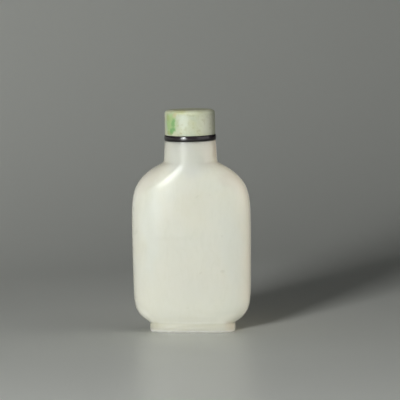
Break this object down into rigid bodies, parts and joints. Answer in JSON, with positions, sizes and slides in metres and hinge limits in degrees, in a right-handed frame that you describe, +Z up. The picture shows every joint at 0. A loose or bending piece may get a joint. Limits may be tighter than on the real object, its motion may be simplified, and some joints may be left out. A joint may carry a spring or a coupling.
{
  "type": "snuff bottle",
  "caption": "Flattened oblong snuff bottle ground from white jade, hollow, on a low rimmed foot, closed by a drum-shaped green stopper that rests on its lip over a thin black collar.",
  "frame": {"origin": "middle of the foot's underside, on the surface that the bottle stands on", "axes": "+Z up along the bottle, -Y out of the broad front face, X across the width"},
  "size_m": [0.0352, 0.0182, 0.0664],
  "materials": {
    "white_jade": "gloss",
    "black_collar": "polished",
    "green_jadeite": "gloss"
  },
  "bodies": {
    "root": {"bottle": "white_jade", "collar": "black_collar", "stopper_cap": "green_jadeite"}
  },
  "joints": []
}
